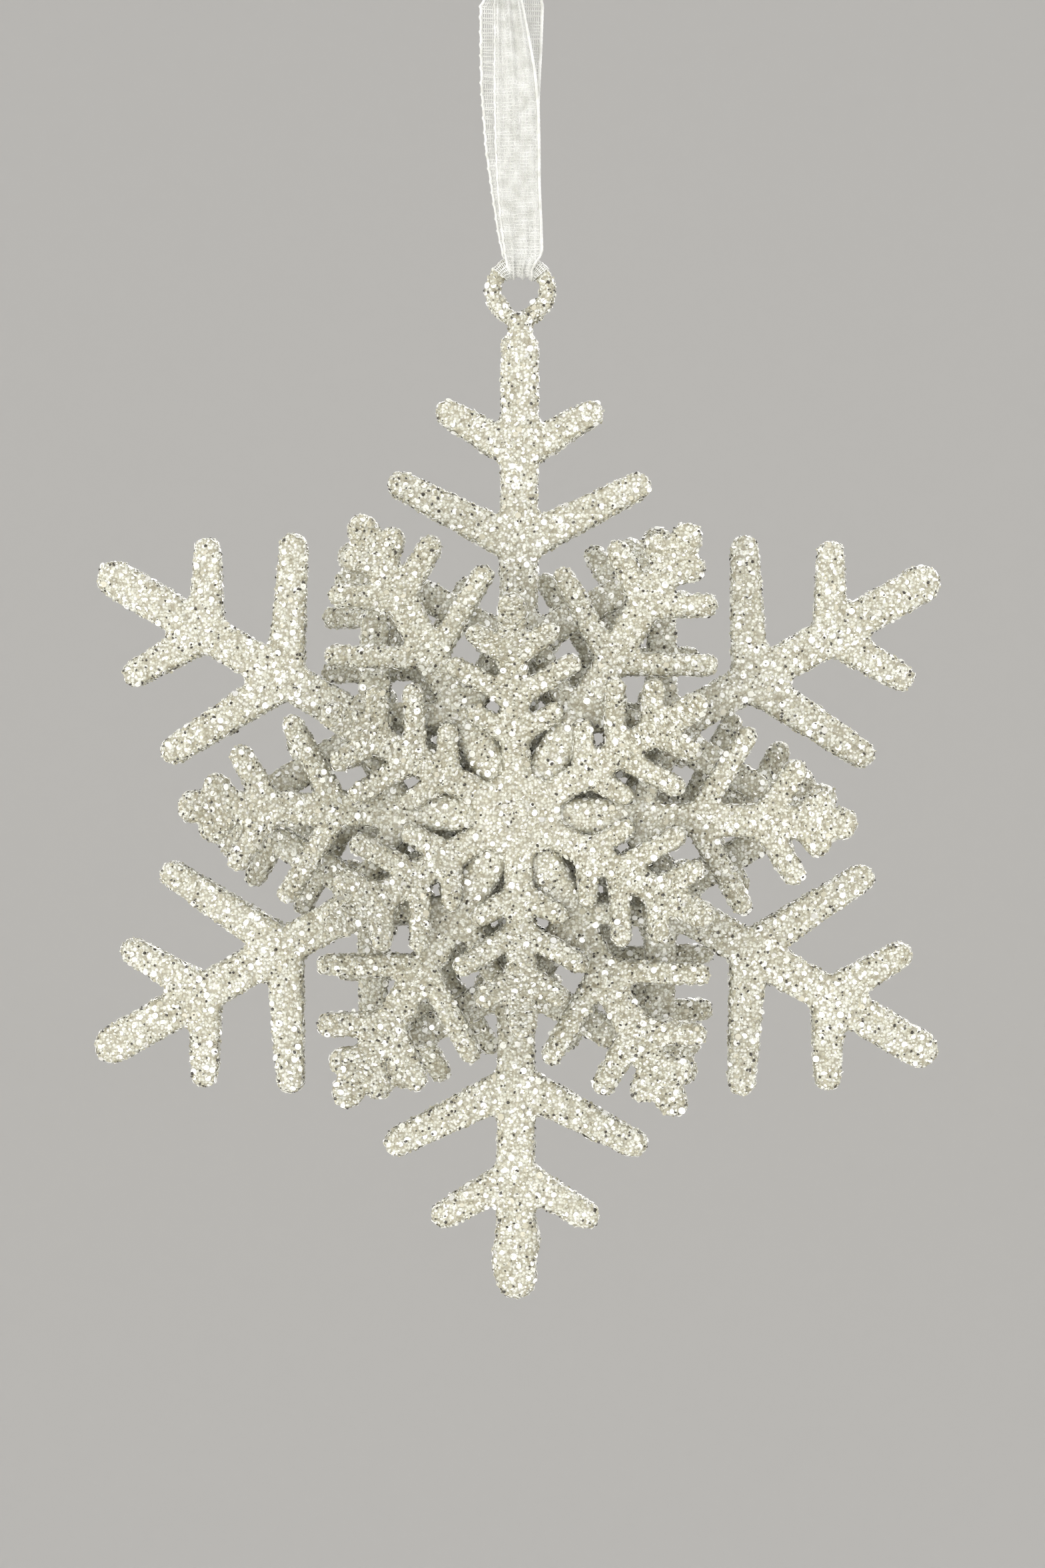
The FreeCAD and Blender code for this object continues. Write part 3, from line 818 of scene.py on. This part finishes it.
def flakes(name, mesh, count, seed):
    """One piece of many thin round flakes lying on the mesh, each a closed plate."""
    random = np.random.default_rng(seed)
    spots, outward = scattered(mesh, count, FLAKE_APART, random)
    bare = spots[:, 2] < CLOTH_Z
    spots, outward = spots[bare], outward[bare]
    number, sides = len(spots), FLAKE_SIDES
    facing, first, second = tilted(outward, FLAKE_TILT, random)
    size = FLAKE_ROUND * (1 + FLAKE_SPREAD * random.uniform(-1, 1, number))
    stretch = random.uniform(0.9, 1.0, number)
    raised = spots + facing * random.uniform(FLAKE_SUNK, FLAKE_RAISED, number)[:, None]
    angles = np.arange(sides) * 2 * np.pi / sides
    rim = (
        first[:, None] * np.cos(angles)[None, :, None]
        + second[:, None] * (np.sin(angles)[None, :] * stretch[:, None])[:, :, None]
    ) * size[:, None, None]
    top = raised[:, None] + rim + facing[:, None] * FLAKE_THICK / 2
    bottom = raised[:, None] + rim - facing[:, None] * FLAKE_THICK / 2
    points = np.concatenate((top, bottom), axis=1).reshape(-1, 3)
    faces = []
    for start in range(0, number * 2 * sides, 2 * sides):
        faces.append(tuple(range(start, start + sides)))
        faces.append(tuple(range(start + 2 * sides - 1, start + sides - 1, -1)))
        faces += [
            (start + k, start + sides + k, start + sides + (k + 1) % sides, start + (k + 1) % sides)
            for k in range(sides)
        ]
    slots = np.repeat(drawn_kinds(FLAKE_KINDS, number, random), sides + 2)
    made = mesh_object(name, points, faces, FLAKE_MATERIALS, smooth=False, slots=slots)
    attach(made, "star")


GRAINS_EACH = 18000  # grains in one piece, which keeps it under 200,000 triangles
GRAIN_ROUND, GRAIN_SPREAD, GRAIN_SIDES, GRAIN_TILT = 0.175 * MM, 0.3, 6, 24.0
GRAIN_ASTRAY = 0.08 * MM  # how far a grain may be from the mesh's point
GRAIN_SUNK = 0.03 * MM


def grains(name, spots, outward, random):
    """One piece of many small grains, each a closed low gem, stuck on the spots."""
    number, sides = len(spots), GRAIN_SIDES
    facing, first, second = tilted(outward, GRAIN_TILT, random)
    size = GRAIN_ROUND * (1 + GRAIN_SPREAD * random.uniform(-1, 1, number))
    spots = spots + first * random.uniform(-GRAIN_ASTRAY, GRAIN_ASTRAY, number)[:, None]
    angles = np.arange(sides) * 2 * np.pi / sides
    reach = size[:, None] * random.uniform(0.8, 1.1, (number, sides))
    across, over = (np.cos(angles) * reach)[:, :, None], (np.sin(angles) * reach)[:, :, None]
    rim = (spots - facing * GRAIN_SUNK)[:, None] + first[:, None] * across + second[:, None] * over
    peak = spots + facing * (size * random.uniform(0.35, 0.6, number))[:, None]
    points = np.concatenate((peak[:, None], rim), axis=1).reshape(-1, 3)
    faces = []
    for start in range(0, number * (sides + 1), sides + 1):
        faces += [(start, start + 1 + k, start + 1 + (k + 1) % sides) for k in range(sides)]
        faces.append(tuple(range(start + sides, start, -1)))
    slots = np.repeat(drawn_kinds(GRAIN_KINDS, number, random), sides + 1)
    made = mesh_object(name, points, faces, GRAIN_MATERIALS, smooth=False, slots=slots)
    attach(made, "star")


def glitter(name, mesh, flake_count, grain_count, order):
    """The flakes on a coat, and its grains, which sit on the coat's own points. order sets the seeds."""
    flakes(name + "_flakes", mesh, flake_count, 100 + order)
    random = np.random.default_rng(200 + order)
    points, outward = vertices(mesh), normals_of(mesh)
    chosen = random.permutation(len(points))[:grain_count]
    for first in range(0, len(chosen), GRAINS_EACH):
        part = chosen[first : first + GRAINS_EACH]
        grains(f"{name}_grains_{first // GRAINS_EACH + 1}", points[part], outward[part], random)


# Each star's CAD node, name, size of the remeshing's voxels in mm, smoothing steps, growth in mm, and
# numbers of flakes and of grains.
STAR_COATS = (
    ("main_star", "main", 0.34, 8, -0.08, 4400, 36000),
    ("front_medium_star", "front_medium", 0.30, 12, 0.04, 2100, 18000),
    ("rear_medium_star", "rear_medium", 0.30, 12, 0.04, 2100, 18000),
    ("front_small_star", "front_small", 0.28, 11, 0.11, 1150, 9500),
    ("rear_small_star", "rear_small", 0.28, 11, 0.11, 1150, 9500),
)
for order, (cad_name, name, voxel, smoothing, grow, flake_count, grain_count) in enumerate(STAR_COATS):
    coat = coated(cad_name, name + "_coat", voxel * MM, smoothing, grow * MM, 40 + 7 * order)
    glitter(name, coat.data, flake_count, grain_count, order)

# --- Pin ----------------------------------------------------------------------------------------

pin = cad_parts["centre_pin"]
pin.data.materials.clear()
pin.data.materials.append(COAT)

PIN_GLUE_ROUND, PIN_GLUE_RISE = 2.3 * MM, 0.28 * MM
PIN_GLUE_SUNK = 0.25 * MM  # how deep the blob sits, so that its skirt goes into the star


def pin_cover(name, side):
    """A low blob of glue over one end of the pin, the front one when side is -1 and the rear one when
    it is 1."""
    low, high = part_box("centre_pin")
    pin_end = (low.y if side < 0 else high.y) - side * 0.02 * MM
    rings, turns = 7, 28
    points = [(0, pin_end + side * (PIN_GLUE_RISE - PIN_GLUE_SUNK), STAR_Z)]
    for k in range(1, rings + 1):
        share = k / rings
        dome = math.cos(share * math.pi / 2) ** 0.8 if k < rings else 0
        up = PIN_GLUE_RISE * dome - 0.4 * MM * max(0, share - 0.85) - PIN_GLUE_SUNK
        for m in range(turns):
            turn = 2 * math.pi * m / turns
            out = PIN_GLUE_ROUND * share * (1 + 0.06 * math.sin(3 * turn + side) + 0.04 * math.sin(5 * turn))
            points.append((out * math.cos(turn), pin_end + side * up, STAR_Z + out * math.sin(turn)))
    faces = [(0, 1 + m, 1 + (m + 1) % turns) for m in range(turns)]
    for near in range(1, 1 + (rings - 1) * turns, turns):
        far = near + turns
        faces += [(near + m, far + m, far + (m + 1) % turns, near + (m + 1) % turns) for m in range(turns)]
    faces.append(tuple(1 + (rings - 1) * turns + m for m in reversed(range(turns))))
    made = mesh_object(name, points, [face[::-side] for face in faces], [COAT])
    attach(made, "star")
    return made


for order, (name, side) in enumerate((("front_glue", -1), ("rear_glue", 1)), start=len(STAR_COATS)):
    glitter(name, pin_cover(name, side).data, 40, 60, order)

# --- Stage and light ----------------------------------------------------------------------------


def cyclorama():
    """A pale floor that curves up into a wall all the way round."""
    floor, flat, bend, top = -1.2, 1.6, 0.9, 2.4  # metres: height, radius, radius of the curve, height
    turns = 64
    rising = np.linspace(0.15, math.pi / 2, 12)
    profile = [(r, floor) for r in (0.0, 0.6, 1.1, flat)]
    profile += [(flat + bend * math.sin(a), floor + bend * (1 - math.cos(a))) for a in rising]
    profile += [(flat + bend, 0.9), (flat + bend, top)]
    angles = [2 * math.pi * k / turns for k in range(turns)]
    points = [(r * math.cos(a), r * math.sin(a), z) for r, z in profile for a in angles]
    paper = plain("studio_paper", (0.62, 0.61, 0.59), Roughness=0.9)
    made = mesh_object("studio_floor", points, round_faces(len(profile), turns), [paper])


MIDDLE = Vector((0, 0, -0.08))


def softbox(name, where, size, power, colour=(1, 1, 1)):
    """A soft light that is aimed at the middle of the ornament, and that the camera doesn't see."""
    light = bpy.data.lights.new(name, "AREA")
    light.shape = "RECTANGLE"
    light.size, light.size_y = size
    light.energy = power
    light.color = colour
    made = bpy.data.objects.new(name, light)
    bpy.context.scene.collection.objects.link(made)
    made.location = where
    made.visible_camera = False
    made.rotation_euler = (Vector(where) - MIDDLE).to_track_quat("Z", "Y").to_euler()


cyclorama()
softbox("key_light", (-0.5, -1.1, -0.32), (1.2, 1.2), 13.5, (1.0, 0.995, 0.95))
softbox("fill_light", (0.35, -1.25, 0.3), (1.6, 1.6), 9.0)
softbox("rim_light", (0.5, 1.1, 0.5), (1.3, 1.0), 15.0)
for side, across in (("left", -1.35), ("right", 1.35)):
    softbox(side + "_light", (across, 0.1, 0.15), (1.2, 1.2), 8.0)
world = bpy.data.worlds.new("studio")
world.use_nodes = True
world.node_tree.nodes["Background"].inputs["Color"].default_value = (0.95, 0.96, 1.0, 1)
world.node_tree.nodes["Background"].inputs["Strength"].default_value = 0.8
bpy.context.scene.world = world
bpy.context.scene.view_settings.view_transform = "Standard"
